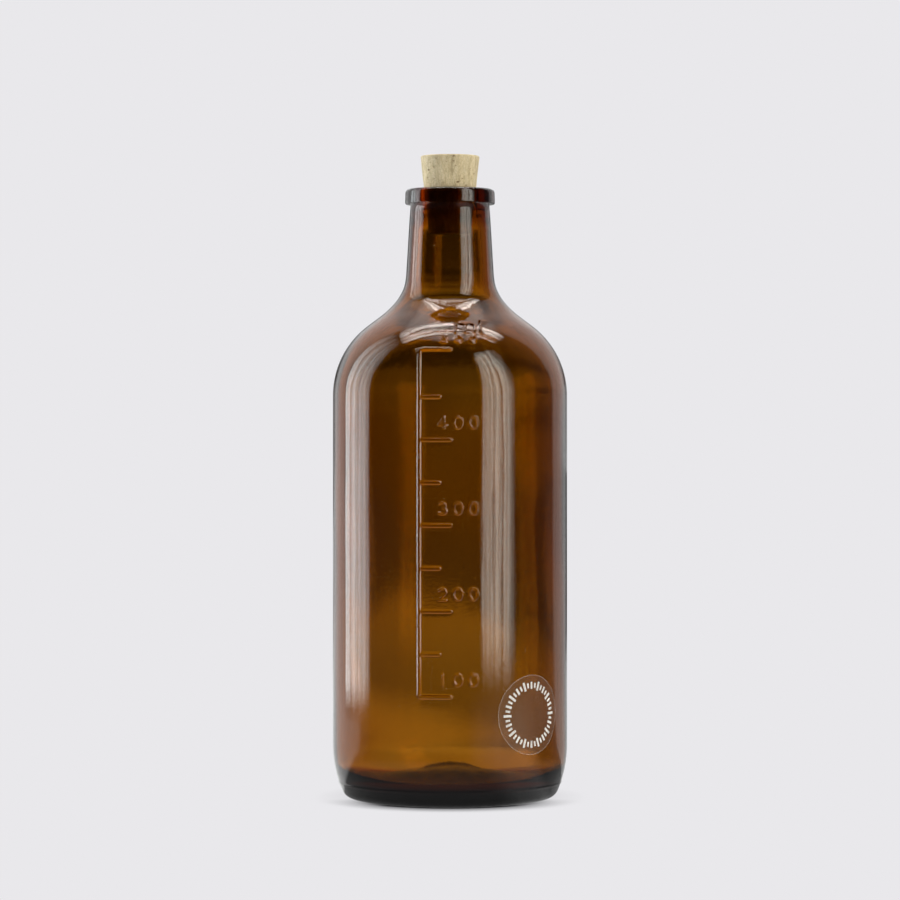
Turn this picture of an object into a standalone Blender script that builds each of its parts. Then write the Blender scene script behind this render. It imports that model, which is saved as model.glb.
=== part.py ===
"""Amber glass dispensary bottle with a moulded volume scale, a tapered cork and a round clear label.

Units are metres, +Z is up. The origin is the centre of the base, on the plane that the bottle stands
on. The scale is moulded on the front, which faces -Y. The three solids are glass_bottle, one blown
piece with the scale in its outer wall, cork_stopper, which slides up out of the neck along Z, and
clear_label, a round film that follows the wall to the right of the scale.
"""

import math

import bmesh
import bpy
from mathutils import Vector

# Driving dimensions of the glass.
BODY_RADIUS = 0.0375
WALL = 0.0029
BOTTLE_HEIGHT = 0.1943
FACETS = 56  # straight facets round the bottle, a multiple of four so that X and Y hold corners

# Base: a ring that bears on the table, round a shallow push-up, under a heel that curves in.
PUSH_UP = 0.0045
BEARING_INNER_RADIUS = 0.0282
CORNER_RADIUS = 0.004
HEEL_TOP = 0.017
FLOOR_EDGE = 0.0052
FLOOR_CENTRE = 0.0115
INNER_HEEL_RADIUS = 0.0075

# Shoulder: a convex arc from the body, then a hollow arc up to the neck.
SHOULDER_FOOT = 0.1283
SHOULDER_RADIUS = 0.0277
HOLLOW_CENTRE = Vector((0.0360, 0.1724))
HOLLOW_RADIUS = 0.0233
HOLLOW_TOP = 0.1645

# Neck and lip.
NECK_FOOT_RADIUS = 0.01405
NECK_TOP_RADIUS = 0.01262
LIP_FOOT = 0.1894
LIP_RADIUS = 0.01435
LIP_DRAFT = 0.0001
LIP_TOP_ROUND = 0.0013
LIP_FOOT_ROUND = 0.0004
BORE_RADIUS = 0.0085
BORE_FOOT = 0.1875
NECK_INNER_RADIUS = 0.0103
NECK_INNER_TOP = 0.1805
MOUTH_ROUND = 0.001

# Cork: a plain tapered stopper, No. 6.
CORK_LENGTH = 0.025
CORK_TOP_RADIUS = 0.0095
CORK_FOOT_RADIUS = 0.00675
CORK_TOP = 0.205
CORK_CHAMFER = 0.0004
CORK_FACETS = 48

# Label: a round film on the front wall.
LABEL_RADIUS = 0.0125
LABEL_ANGLE = math.radians(42.4)  # to the right of the front
LABEL_HEIGHT = 0.0286
LABEL_GAP = 0.0001
LABEL_THICKNESS = 0.00025
LABEL_RINGS = 3
LABEL_SIDES = 36

# Volume scale: a stem with a tick each 50 ml, long ones each 100 ml, and numerals above those.
SCALE_FIRST = 0.0348  # height of the 100 ml tick
SCALE_STEP = 0.01327  # climb for each 50 ml in the straight body
SCALE_LAST = 0.1425  # height of the 500 ml tick, where the shoulder has begun to narrow
SCALE_TICKS = 9
STEM_AT = -0.0097
LONG_TICK_END = 0.0009
SHORT_TICK_END = -0.0025
LINE_WIDTH = 0.00125
TOP_CORNER_ROUND = 0.0013
FOOT_CORNER_ROUND = 0.0006
RELIEF_HEIGHT = 0.0005
RELIEF_ROOT = 0.0004  # how far the relief reaches down into the wall
RELIEF_TAPER = 0.45  # width of a line's top, as a share of its foot

# Numerals are strokes, laid out in a box of this size. The ones on the shoulder are smaller.
DIGIT_WIDTH = 0.0026
DIGIT_HEIGHT = 0.0036
DIGIT_STROKE = 0.00105
DIGIT_PITCH = 0.0048
FIRST_DIGIT_AT = -0.0024
DIGIT_RISE = 0.0053  # from a tick to the middle of its numeral, along the wall
TOP_DIGIT_WIDTH = 0.0021
TOP_DIGIT_HEIGHT = 0.0024
TOP_DIGIT_PITCH = 0.0045
TOP_FIRST_DIGIT_AT = -0.0019
TOP_DIGIT_RISE = 0.0037

# The unit, ml, stands over the top numeral.
UNIT_WIDTH = 0.0062
UNIT_HEIGHT = 0.0054
UNIT_PITCH = 0.0049
UNIT_AT = 0.0047
UNIT_RISE = 0.0099  # from the top tick to the middle of the unit


def arc(centre, radius, first, last, steps):
    """Points on a circle in the outline's plane (x is the radius, y the height), angles in degrees."""
    points = []
    for i in range(steps + 1):
        angle = math.radians(first + (last - first) * i / steps)
        points.append(Vector((centre[0] + radius * math.cos(angle), centre[1] + radius * math.sin(angle))))
    return points


def bearing_outer_radius():
    """Radius where the base's corner meets the table: the corner arc touches the heel's arc inside."""
    reach = BODY_RADIUS - CORNER_RADIUS
    return math.sqrt(reach**2 - (HEEL_TOP - CORNER_RADIUS) ** 2)


def shoulder_angle():
    """Where the convex shoulder arc passes into the straight slope above it, in degrees."""
    to_hollow = HOLLOW_CENTRE - Vector((BODY_RADIUS - SHOULDER_RADIUS, SHOULDER_FOOT))
    lean = math.acos((SHOULDER_RADIUS + HOLLOW_RADIUS) / to_hollow.length)
    return math.degrees(math.atan2(to_hollow.y, to_hollow.x) - lean)


def hollow_radius(convex_radius):
    """Radius of the hollow arc on the same straight slope as a convex shoulder arc of the given radius."""
    return SHOULDER_RADIUS + HOLLOW_RADIUS - convex_radius


def outer_wall():
    """Outer outline, from the corner of the base up to the foot of the lip."""
    corner = (bearing_outer_radius(), CORNER_RADIUS)
    heel_angle = math.degrees(math.atan2(corner[1] - HEEL_TOP, corner[0]))
    points = arc(corner, CORNER_RADIUS, -90, heel_angle, 4)
    points += arc((0, HEEL_TOP), BODY_RADIUS, heel_angle, 0, 5)[1:]
    points += arc((BODY_RADIUS - SHOULDER_RADIUS, SHOULDER_FOOT), SHOULDER_RADIUS, 0, shoulder_angle(), 9)
    hollow = hollow_radius(SHOULDER_RADIUS)
    hollow_end = 180 + math.degrees(math.asin((HOLLOW_CENTRE.y - HOLLOW_TOP) / hollow))
    points += arc(HOLLOW_CENTRE, hollow, shoulder_angle() + 180, hollow_end, 6)
    points += [Vector((NECK_FOOT_RADIUS, 0.1655)), Vector((NECK_TOP_RADIUS, LIP_FOOT))]
    return points


def lip():
    """Outline of the lip, from its underside over the top and into the mouth."""
    foot = (LIP_RADIUS - LIP_FOOT_ROUND, LIP_FOOT + LIP_FOOT_ROUND)
    top = (LIP_RADIUS - LIP_DRAFT - LIP_TOP_ROUND, BOTTLE_HEIGHT - LIP_TOP_ROUND)
    mouth = (BORE_RADIUS + MOUTH_ROUND, BOTTLE_HEIGHT - MOUTH_ROUND)
    return (
        arc(foot, LIP_FOOT_ROUND, -90, 0, 2)
        + arc(top, LIP_TOP_ROUND, 0, 90, 3)
        + arc(mouth, MOUTH_ROUND, 90, 180, 3)
    )


def inner_wall():
    """Inner outline, from the bore down to the middle of the floor."""
    convex = SHOULDER_RADIUS - WALL
    hollow = hollow_radius(convex)
    inner_radius = BODY_RADIUS - WALL
    points = []
    for share in (0, 0.25, 0.5, 0.75, 1):
        widening = (NECK_INNER_RADIUS - BORE_RADIUS) * (1 - math.cos(math.pi * share)) / 2
        points.append(Vector((BORE_RADIUS + widening, BORE_FOOT + (NECK_INNER_TOP - BORE_FOOT) * share)))
    hollow_end = 180 + math.degrees(math.asin((HOLLOW_CENTRE.y - HOLLOW_TOP) / hollow))
    points += arc(HOLLOW_CENTRE, hollow, hollow_end, shoulder_angle() + 180, 5)
    points += arc((BODY_RADIUS - SHOULDER_RADIUS, SHOULDER_FOOT), convex, shoulder_angle(), 0, 7)
    corner = (inner_radius - INNER_HEEL_RADIUS, FLOOR_EDGE + INNER_HEEL_RADIUS)
    points += arc(corner, INNER_HEEL_RADIUS, 0, -90, 5)
    for share in (0.8, 0.6, 0.4, 0.2, 0):
        dome = (FLOOR_CENTRE - FLOOR_EDGE) * (1 - share**2.6) ** 2
        points.append(Vector((corner[0] * share, FLOOR_EDGE + dome)))
    return points


def base():
    """Outline of the underside, from the middle of the push-up to the bearing ring's inner edge."""
    rise = [Vector((0, PUSH_UP)), Vector((0.014, PUSH_UP * 0.8)), Vector((0.023, PUSH_UP * 0.4))]
    return rise + [Vector((BEARING_INNER_RADIUS, 0))]


def new_object(name, mesh):
    made = bpy.data.objects.new(name, mesh)
    bpy.context.scene.collection.objects.link(made)
    return made


def mesh_from(name, work):
    """Finishes a bmesh into a mesh that is shaded smooth, with its real edges sharp."""
    bmesh.ops.recalc_face_normals(work, faces=work.faces)
    mesh = bpy.data.meshes.new(name)
    work.to_mesh(mesh)
    work.free()
    mesh.shade_smooth()
    mesh.set_sharp_from_angle(angle=math.radians(40))
    return mesh


def turned(name, outline, facets):
    """A solid turned about Z from an outline that starts and ends on the axis."""
    work = bmesh.new()
    corners = [work.verts.new((point.x, 0, point.y)) for point in outline]
    edges = [work.edges.new(pair) for pair in zip(corners, corners[1:])]
    bmesh.ops.spin(
        work, geom=corners + edges, axis=(0, 0, 1), cent=(0, 0, 0), angle=math.tau, steps=facets
    )
    bmesh.ops.remove_doubles(work, verts=work.verts, dist=1e-6)
    return new_object(name, mesh_from(name, work))


def wall_path():
    """The outer wall above the heel as (length from its start, radius, height), for laying out relief."""
    wall = [point for point in outer_wall() if point.y >= HEEL_TOP]
    path = [(wall[0].y, wall[0].x, wall[0].y)]
    for before, after in zip(wall, wall[1:]):
        path.append((path[-1][0] + (after - before).length, after.x, after.y))
    return path


def on_wall(across, along, lift):
    """The point `across` to the right of the front and `along` up the wall, raised off it by `lift`."""
    path = wall_path()
    for (start, r0, z0), (end, r1, z1) in zip(path, path[1:]):
        if along <= end:
            break
    share = (along - start) / (end - start)
    radius = r0 + (r1 - r0) * share
    height = z0 + (z1 - z0) * share
    slope = Vector((z1 - z0, r0 - r1)).normalized()
    angle = across / radius
    reach = radius + slope.x * lift
    return Vector((reach * math.sin(angle), -reach * math.cos(angle), height + slope.y * lift))


def along_at(height):
    """Length along the wall at a height on it."""
    path = wall_path()
    for (start, _, z0), (end, _, z1) in zip(path, path[1:]):
        if height <= z1:
            break
    return start + (end - start) * (height - z0) / (z1 - z0)


def ellipse(centre, size, first, last, steps):
    """Points on an ellipse in a numeral's unit box, angles in degrees."""
    points = []
    for i in range(steps + 1):
        angle = math.radians(first + (last - first) * i / steps)
        points.append((centre[0] + size[0] * math.cos(angle), centre[1] + size[1] * math.sin(angle)))
    return points


def glyph(character):
    """The strokes of a character in a unit box, each a list of points. A closed one ends where it began."""
    if character == "0":
        return [ellipse((0.5, 0.5), (0.5, 0.5), 0, 360, 14)]
    if character == "1":
        return [[(0.5, 1.0), (0.5, 0.0)]]
    if character == "2":
        return [ellipse((0.5, 0.7), (0.42, 0.3), 170, -35, 7) + [(0.05, 0.0)], [(0.05, 0.0), (1.0, 0.0)]]
    if character == "3":
        return [
            ellipse((0.47, 0.76), (0.4, 0.24), 150, -80, 6),
            ellipse((0.47, 0.27), (0.5, 0.27), 80, -155, 7),
        ]
    if character == "4":
        return [[(0.72, 1.0), (0.0, 0.3)], [(0.0, 0.3), (1.05, 0.3)], [(0.72, 1.0), (0.72, 0.0)]]
    if character == "5":
        return [
            [(0.16, 1.0), (0.9, 1.0)],
            [(0.16, 1.0), (0.1, 0.55)],
            ellipse((0.45, 0.34), (0.5, 0.34), 135, -150, 8),
        ]
    if character == "m":
        hump = ellipse((0.25, 0.4), (0.25, 0.25), 180, 0, 5)
        second = [(x + 0.5, y) for x, y in hump]
        return [[(0.0, 0.7), (0.0, 0.0)], hump + [(0.5, 0.0)], second + [(1.0, 0.0)]]
    return [[(0.5, 1.0), (0.5, 0.0)]]  # the letter l


def add_stroke(work, points, width):
    """Adds one raised bar along points, each (across, along), with its root inside the wall."""
    closed = (Vector(points[0]) - Vector(points[-1])).length < 1e-7
    if closed:
        points = points[:-1]
    count = len(points)
    half = width / 2
    foot = [(-half, -RELIEF_ROOT), (half, -RELIEF_ROOT)]
    section = foot + [(half * RELIEF_TAPER, RELIEF_HEIGHT), (-half * RELIEF_TAPER, RELIEF_HEIGHT)]
    rings = []
    for i, point in enumerate(points):
        before = Vector(points[i - 1] if closed or i else points[i])
        after = Vector(points[(i + 1) % count] if closed or i < count - 1 else points[i])
        run = (after - before).normalized()
        side = Vector((run.y, -run.x))
        past = 0
        if not closed and i in (0, count - 1):
            past = half if i else -half
        ring = []
        for offset, lift in section:
            slope = past * (RELIEF_TAPER if lift > 0 else 1)
            place = Vector(point) + side * offset + run * slope
            ring.append(work.verts.new(on_wall(place.x, place.y, lift)))
        rings.append(ring)
    pairs = list(zip(rings, rings[1:]))
    if closed:
        pairs.append((rings[-1], rings[0]))
    for near, far in pairs:
        for i in range(len(section)):
            j = (i + 1) % len(section)
            work.faces.new((near[i], near[j], far[j], far[i]))
    if not closed:
        work.faces.new(rings[0])
        work.faces.new(reversed(rings[-1]))


def add_text(work, text, first_centre, centre_along, pitch, width, height):
    """Adds characters, the first one centred at first_centre, each one pitch further to the right."""
    for i, character in enumerate(text):
        left = first_centre + i * pitch - width / 2
        foot = centre_along - height / 2
        for stroke in glyph(character):
            points = [(left + x * width, foot + y * height) for x, y in stroke]
            add_stroke(work, points, DIGIT_STROKE)


def add_numeral(work, index, along):
    """Adds the numeral over a tick. The top one is smaller, and the unit stands over it."""
    text = str(100 + 50 * index)
    if index < SCALE_TICKS - 1:
        middle = along + DIGIT_RISE
        add_text(work, text, FIRST_DIGIT_AT, middle, DIGIT_PITCH, DIGIT_WIDTH, DIGIT_HEIGHT)
        return
    middle = along + TOP_DIGIT_RISE
    size = (TOP_DIGIT_WIDTH, TOP_DIGIT_HEIGHT)
    add_text(work, text, TOP_FIRST_DIGIT_AT, middle, TOP_DIGIT_PITCH, *size)
    add_text(work, "ml", UNIT_AT, along + UNIT_RISE, UNIT_PITCH, UNIT_WIDTH, UNIT_HEIGHT)


def tick_height(index):
    """Height of a tick: even steps up the straight body, and the top one where the shoulder narrows."""
    if index == SCALE_TICKS - 1:
        return SCALE_LAST
    return SCALE_FIRST + index * SCALE_STEP


def line(first, last, steps):
    """Points from first to last, both included."""
    return [Vector(first).lerp(Vector(last), i / steps) for i in range(steps + 1)]


def bracket(foot, top):
    """The stem with the lowest and the highest tick, in one line that turns two round corners."""
    end = LONG_TICK_END - LINE_WIDTH / 2
    high = (STEM_AT + TOP_CORNER_ROUND, top - TOP_CORNER_ROUND)
    low = (STEM_AT + FOOT_CORNER_ROUND, foot + FOOT_CORNER_ROUND)
    points = line((end, top), (high[0], top), 3)
    points += arc(high, TOP_CORNER_ROUND, 90, 180, 3)[1:]
    points += line((STEM_AT, high[1]), (STEM_AT, low[1]), 24)[1:]
    points += arc(low, FOOT_CORNER_ROUND, 180, 270, 2)[1:]
    points += line((low[0], foot), (end, foot), 3)[1:]
    return points


def scale_relief():
    """The raised volume scale, a helper that goes once it is joined to the glass."""
    work = bmesh.new()
    add_stroke(work, bracket(along_at(SCALE_FIRST), along_at(SCALE_LAST)), LINE_WIDTH)
    for index in range(SCALE_TICKS):
        along = along_at(tick_height(index))
        whole_hundred = index % 2 == 0
        if 0 < index < SCALE_TICKS - 1:
            end = LONG_TICK_END if whole_hundred else SHORT_TICK_END
            tick = line((STEM_AT + LINE_WIDTH / 2, along), (end - LINE_WIDTH / 2, along), 3)
            add_stroke(work, tick, LINE_WIDTH)
        if whole_hundred:
            add_numeral(work, index, along)
    relief = new_object("scale_relief", mesh_from("scale_relief", work))
    relief.hide_render = True
    relief.display_type = "WIRE"
    return relief


def glass_bottle():
    """The blown bottle: body, neck and lip in one piece, with the scale standing out of its wall."""
    outline = base() + outer_wall() + lip() + inner_wall()
    bottle = turned("glass_bottle", outline, FACETS)
    join = bottle.modifiers.new("moulded_scale", "BOOLEAN")
    join.operation = "UNION"
    join.solver = "EXACT"
    join.use_self = True
    relief = scale_relief()
    join.object = relief
    graph = bpy.context.evaluated_depsgraph_get()
    moulded = bpy.data.meshes.new_from_object(bottle.evaluated_get(graph))
    bottle.modifiers.clear()
    bpy.data.objects.remove(relief)
    bottle.data = moulded
    moulded.set_sharp_from_angle(angle=math.radians(25))
    return bottle


def cork_stopper():
    """The tapered cork, wide end up, with its edges just broken."""
    foot = CORK_TOP - CORK_LENGTH
    outline = [
        Vector((0, foot)),
        Vector((CORK_FOOT_RADIUS - CORK_CHAMFER, foot)),
        Vector((CORK_FOOT_RADIUS, foot + CORK_CHAMFER)),
        Vector((CORK_TOP_RADIUS, CORK_TOP - CORK_CHAMFER)),
        Vector((CORK_TOP_RADIUS - CORK_CHAMFER, CORK_TOP)),
        Vector((0, CORK_TOP)),
    ]
    return turned("cork_stopper", outline, CORK_FACETS)


def clear_label():
    """The round film, made flat as rings about a middle point, then wrapped round the wall."""
    work = bmesh.new()
    levels = (LABEL_GAP, LABEL_GAP + LABEL_THICKNESS)
    sheets = []
    for lift in levels:
        middle = work.verts.new((0, 0, lift))
        rings = []
        for ring in range(1, LABEL_RINGS + 1):
            radius = LABEL_RADIUS * ring / LABEL_RINGS
            turn = [math.tau * i / LABEL_SIDES for i in range(LABEL_SIDES)]
            rings.append([work.verts.new((radius * math.cos(a), radius * math.sin(a), lift)) for a in turn])
        for i in range(LABEL_SIDES):
            j = (i + 1) % LABEL_SIDES
            work.faces.new((middle, rings[0][i], rings[0][j]))
            for near, far in zip(rings, rings[1:]):
                work.faces.new((near[i], far[i], far[j], near[j]))
        sheets.append(rings[-1])
    for i in range(LABEL_SIDES):
        j = (i + 1) % LABEL_SIDES
        work.faces.new((sheets[0][i], sheets[1][i], sheets[1][j], sheets[0][j]))
    for vert in work.verts:
        angle = LABEL_ANGLE + vert.co.x / BODY_RADIUS
        reach = BODY_RADIUS + vert.co.z
        vert.co = (reach * math.sin(angle), -reach * math.cos(angle), LABEL_HEIGHT + vert.co.y)
    return new_object("clear_label", mesh_from("clear_label", work))


def finish(made, name, colour, roughness, **more):
    """Gives an object its own Principled material."""
    material = bpy.data.materials.new(name)
    material.use_nodes = True
    shader = material.node_tree.nodes["Principled BSDF"]
    shader.inputs["Base Color"].default_value = (*colour, 1)
    shader.inputs["Roughness"].default_value = roughness
    shader.inputs["Metallic"].default_value = 0.0
    for socket, value in more.items():
        shader.inputs[socket.replace("_", " ")].default_value = value
    made.data.materials.append(material)


def main():
    for old in list(bpy.data.objects):
        bpy.data.objects.remove(old)
    finish(glass_bottle(), "amber_glass", (0.24, 0.09, 0.01), 0.05, Transmission_Weight=0.9, IOR=1.52)
    finish(cork_stopper(), "cork", (0.62, 0.48, 0.30), 0.85)
    finish(clear_label(), "clear_film", (0.8, 0.75, 0.7), 0.3, Alpha=0.3)


main()
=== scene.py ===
"""Looks of the graduated amber bottle: glass, cork, clear sticker, and the studio round them.

Metres, +Z up, in the row frame. The scale is on the front, which faces -Y. An angle on the bottle is
measured from the front, positive to the right (+X).
"""

import math

import bpy
import numpy as np
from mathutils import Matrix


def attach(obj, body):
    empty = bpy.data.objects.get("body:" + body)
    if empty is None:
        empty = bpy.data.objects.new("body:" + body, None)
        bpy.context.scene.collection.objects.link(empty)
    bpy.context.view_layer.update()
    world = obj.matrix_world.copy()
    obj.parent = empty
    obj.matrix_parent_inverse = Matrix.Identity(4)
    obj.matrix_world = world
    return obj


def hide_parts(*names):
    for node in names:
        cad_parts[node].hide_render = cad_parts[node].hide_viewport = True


# Outline of the glass, in metres. The body is a hair under the CAD radius, which leaves room for the seams.
BODY_RADIUS = 0.03743
HEEL_TOP = 0.017
HEEL_RADIUS = 0.0375
CORNER_RADIUS = 0.004
BEARING_INNER_RADIUS = 0.0282
PUSH_UP = 0.0045
SHOULDER_RADIUS = 0.0277
SHOULDER_CENTRE = (0.0098, 0.1283)
HOLLOW_CENTRE = (0.0360, 0.1724)
HOLLOW_RADIUS = 0.0233
HOLLOW_TOP = 0.1623
NECK_FOOT = (0.01405, 0.1655)
NECK_TOP = (0.01262, 0.1894)
LIP_RADIUS = 0.01435
LIP_DRAFT = 0.0001
LIP_TOP = 0.1943
LIP_TOP_ROUND = 0.0013
LIP_FOOT_ROUND = 0.0005
BORE_RADIUS = 0.0085
BORE_FOOT = 0.1875
NECK_INNER_RADIUS = 0.0100
NECK_INNER_TOP = 0.1805
MOUTH_ROUND = 0.001
WALL = 0.0029
FLOOR_EDGE = 0.0052
FLOOR_CENTRE = 0.0115
INNER_HEEL_RADIUS = 0.0075

# Moulded scale. Its lines are wider at the foot than on the CAD part, so that both of their slopes show.
SCALE_FIRST = 0.0348
SCALE_STEP = 0.01327
SCALE_LAST = 0.1425
SCALE_TICKS = 9
STEM_AT = -0.0097
LONG_TICK_END = 0.0009
SHORT_TICK_END = -0.0025
LINE_WIDTH = 0.00170
TOP_CORNER_ROUND = 0.0013
FOOT_CORNER_ROUND = 0.0006
LINE_FLAT = 0.00020
RELIEF_HEIGHT = 0.00048
DIGIT_SIZE = (0.0026, 0.0036)
DIGIT_STROKE = 0.00105
DIGIT_FLAT = 0.00006
DIGIT_LIFT = 0.9
DIGIT_PITCH = 0.0048
FIRST_DIGIT_AT = -0.0024
DIGIT_RISE = 0.0053
TOP_DIGIT_SIZE = (0.0021, 0.0024)
TOP_DIGIT_PITCH = 0.0045
TOP_FIRST_DIGIT_AT = -0.0019
TOP_DIGIT_RISE = 0.0037
UNIT_SIZE = (0.0062, 0.0054)
UNIT_PITCH = 0.0049
UNIT_AT = 0.0047
UNIT_RISE = 0.0099

# Unevenness of blown glass: waves, seams, the base plate's ring, and the drawn-in foot of the neck.
SKIN_WAVE = 0.00003
INNER_WAVE = 0.00022
EXTRA_WALL = 0.0005
SEAM_LIFT = 0.00006
SEAM_HALF_WIDTH = 0.0009
BASE_RING_LIFT = 0.00020
BASE_RING_AT = 0.0050
BASE_RING_HALF_WIDTH = 0.00028
TUCK_AT = 0.1594
TUCK_SPAN = 0.0024
TUCK_DEPTH = 0.00014
FRONT_TUCK_DEPTH = 0.00030
SWELL_AT = 0.1518
SWELL_SPAN = 0.0030
FRONT_SWELL_LIFT = 0.00016

# Rows of points along the wall, in metres apart, and columns round it, in degrees.
ROW_STEP = 0.0034
CURVE_ROW_STEP = 0.0011
CORNER_ROW_STEP = 0.0003
RELIEF_ROW_STEP = 0.00018
UNIT_ROW_STEP = 0.00022
RELIEF_MARGIN = 0.0006
DIGIT_MARGIN = 0.00078
COLUMN_STEP = 4.0
FIRST_COLUMN = -16.6

# Cork.
CORK_TOP = 0.205
CORK_FOOT = 0.180
CORK_TOP_RADIUS = 0.0095
CORK_FOOT_RADIUS = 0.00675
CORK_EDGE_ROUND = 0.00055
CORK_FINE_ABOVE = 0.1942
CORK_PORE_DEPTH = 0.00034

# Sticker.
LABEL_ANGLE = math.radians(42.4)
LABEL_HEIGHT = 0.0286
LABEL_SIDES = 96
FILM_FOOT = 0.00003
FILM_TOP = 0.00015
PRINT_TOP = 0.00018
RIM_RADII = (0.01226, 0.01248)
MARK_RING = 0.0092
MARK_COUNT = 40

# Photograph's view: a long lens at eye level with the middle of the bottle.
CAMERA_AT = (0.0, -1.080, 0.12207)
CAMERA_LENS = 135
CAMERA_SHIFT = -35 / 900
BACKDROP = (0.815, 0.807, 0.831)

# The floor's brightness by distance is given over this reach from the bottle.
TABLE_REACH = 5.0


# ---------------------------------------------------------------- outlines


def arc(centre, radius, first, last, steps):
    """Points (radius, height) on a circle, angles in degrees."""
    angle = np.radians(np.linspace(first, last, steps + 1))
    return np.c_[centre[0] + radius * np.cos(angle), centre[1] + radius * np.sin(angle)]


def bend(start, corner, end, steps):
    """A smooth bend from start to end that leans to the corner."""
    t = np.linspace(0, 1, steps + 1)[:, None]
    start, corner, end = (np.array(point) for point in (start, corner, end))
    return start * (1 - t) ** 2 + corner * 2 * t * (1 - t) + end * t**2


def shoulder_angle():
    """Where the convex shoulder arc passes into the straight slope above it, in degrees."""
    across = HOLLOW_CENTRE[0] - SHOULDER_CENTRE[0]
    rise = HOLLOW_CENTRE[1] - SHOULDER_CENTRE[1]
    lean = math.acos((SHOULDER_RADIUS + HOLLOW_RADIUS) / math.hypot(across, rise))
    return math.degrees(math.atan2(rise, across) - lean)


def hollow_radius(convex_radius):
    """Radius of the hollow arc on the same straight slope as a convex shoulder arc."""
    return SHOULDER_RADIUS + HOLLOW_RADIUS - convex_radius


def hollow_end(radius, height):
    """Angle on the hollow arc at a height, in degrees."""
    return 180 + math.degrees(math.asin((HOLLOW_CENTRE[1] - height) / radius))


def wall_outline():
    """Outer wall from the top of the heel to the foot of the lip, close-set."""
    slim = HEEL_RADIUS - BODY_RADIUS
    convex = SHOULDER_RADIUS - slim
    hollow = hollow_radius(convex)
    turn = shoulder_angle()
    parts = [np.array([(BODY_RADIUS, HEEL_TOP)])]
    parts.append(arc(SHOULDER_CENTRE, convex, 0, turn, 200))
    parts.append(arc(HOLLOW_CENTRE, hollow, turn + 180, hollow_end(hollow, HOLLOW_TOP), 120))
    start = parts[-1][-1]
    slope = (NECK_TOP[0] - NECK_FOOT[0]) / (NECK_TOP[1] - NECK_FOOT[1])
    end = (NECK_FOOT[0] + slope * 0.0018, NECK_FOOT[1] + 0.0018)
    lean = -(start[1] - HOLLOW_CENTRE[1]) / (start[0] - HOLLOW_CENTRE[0])
    height = (NECK_FOOT[0] - slope * NECK_FOOT[1] - start[0] + lean * start[1]) / (lean - slope)
    corner = (start[0] + lean * (height - start[1]), height)
    parts.append(bend(start, corner, end, 24)[1:])
    parts.append(np.array([NECK_TOP]))
    return np.vstack(parts)


def along(outline):
    """Length along an outline at each of its points."""
    return np.r_[0, np.cumsum(np.hypot(*np.diff(outline, axis=0).T))]


def resample(outline, places):
    """Points of an outline at given lengths along it."""
    length = along(outline)
    return np.c_[np.interp(places, length, outline[:, 0]), np.interp(places, length, outline[:, 1])]


def base_outline():
    """From the middle of the push-up, over the bearing ring, round the corner and up the heel."""
    reach = HEEL_RADIUS - CORNER_RADIUS
    bearing = math.sqrt(reach**2 - (HEEL_TOP - CORNER_RADIUS) ** 2)
    heel = math.degrees(math.atan2(CORNER_RADIUS - HEEL_TOP, bearing))
    radius = np.linspace(0, BEARING_INNER_RADIUS, 12)
    dome = np.c_[radius, PUSH_UP * (1 - (radius / BEARING_INNER_RADIUS) ** 2)]
    corner = arc((bearing, CORNER_RADIUS), CORNER_RADIUS, -90, heel, 14)
    ring = math.degrees(math.asin((0.0062 - HEEL_TOP) / HEEL_RADIUS))
    side = np.vstack(
        [
            arc((0, HEEL_TOP), HEEL_RADIUS, heel, ring, 14)[1:],
            arc((0, HEEL_TOP), HEEL_RADIUS, ring, 0, 14)[1:],
        ]
    )
    slim = np.clip((side[:, 1] - CORNER_RADIUS) / (HEEL_TOP - CORNER_RADIUS), 0, 1)
    side[:, 0] -= (HEEL_RADIUS - BODY_RADIUS) * slim
    return np.vstack([dome, [(BEARING_INNER_RADIUS + 0.0006, 0.0)], corner, side])


def lip_outline():
    foot = (LIP_RADIUS - LIP_FOOT_ROUND, NECK_TOP[1] + LIP_FOOT_ROUND)
    top = (LIP_RADIUS - LIP_DRAFT - LIP_TOP_ROUND, LIP_TOP - LIP_TOP_ROUND)
    mouth = (BORE_RADIUS + MOUTH_ROUND, LIP_TOP - MOUTH_ROUND)
    return np.vstack(
        [
            [(NECK_TOP[0] + 0.0004, NECK_TOP[1] + 0.00005)],
            arc(foot, LIP_FOOT_ROUND, -90, 0, 5),
            arc(top, LIP_TOP_ROUND, 0, 90, 9),
            [((top[0] + mouth[0]) / 2, LIP_TOP)],
            arc(mouth, MOUTH_ROUND, 90, 180, 7),
        ]
    )


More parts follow.
